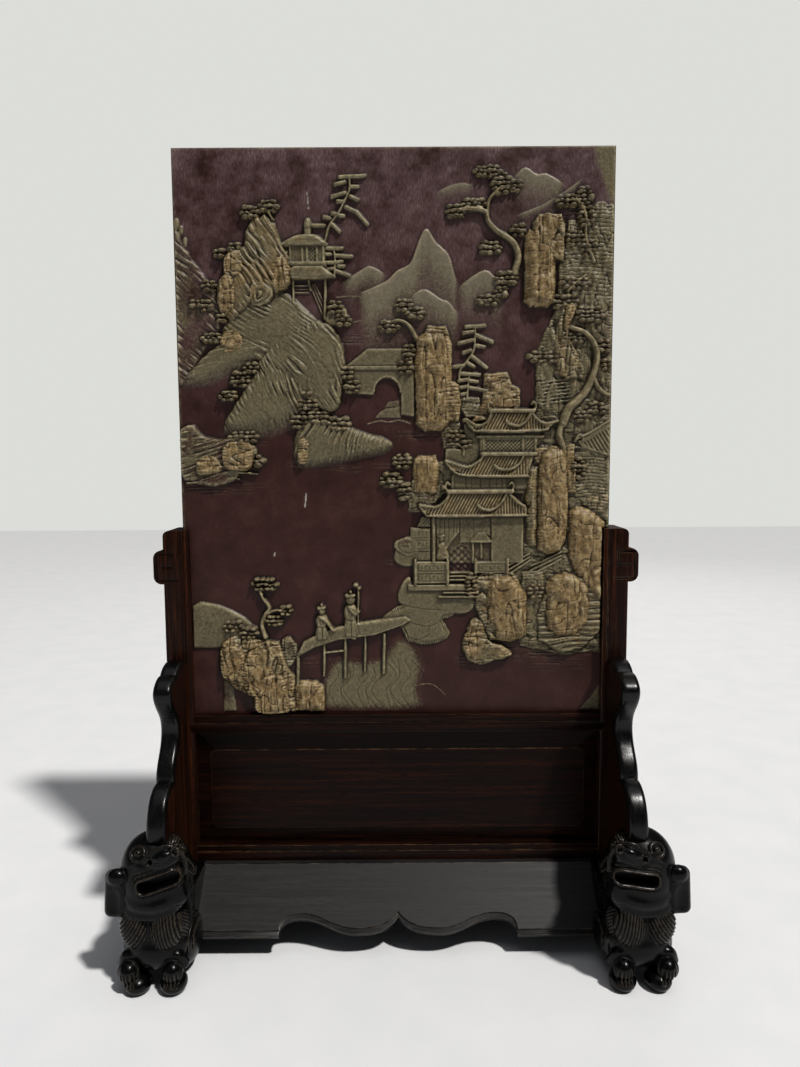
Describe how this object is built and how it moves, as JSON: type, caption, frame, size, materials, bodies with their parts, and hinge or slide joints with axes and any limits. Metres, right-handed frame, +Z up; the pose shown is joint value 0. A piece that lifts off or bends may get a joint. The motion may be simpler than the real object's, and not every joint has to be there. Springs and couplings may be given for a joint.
{
  "type": "stone table screen",
  "caption": "Carved stone landscape slab standing upright in a dark hardwood stand with lion-carved feet; the slab lifts straight out.",
  "frame": {"origin": "middle of the footprint, at the height of the table top", "axes": "+Z up, the carved front faces -Y, +X to the right as seen from the front"},
  "size_m": [0.476, 0.238, 0.6963],
  "materials": {
    "carved_stone": "honed, with a green and ochre relief",
    "frame_hardwood": "waxed",
    "blackened_hardwood": "polished black"
  },
  "bodies": {
    "stand": {"left_post": "frame_hardwood", "right_post": "frame_hardwood", "top_rail": "frame_hardwood", "bottom_rail": "frame_hardwood", "waist_panel": "frame_hardwood", "front_apron": "blackened_hardwood", "rear_apron": "blackened_hardwood", "left_foot": "blackened_hardwood", "right_foot": "blackened_hardwood", "front_left_spandrel": "blackened_hardwood", "front_right_spandrel": "blackened_hardwood", "rear_left_spandrel": "blackened_hardwood", "rear_right_spandrel": "blackened_hardwood"},
    "stone": {"stone_slab": "carved_stone"}
  },
  "joints": [
    {"name": "slab_lift", "type": "slide", "parent": "stand", "child": "stone", "axis": [0, 0, 1], "range_m": [0, 0.18]}
  ]
}
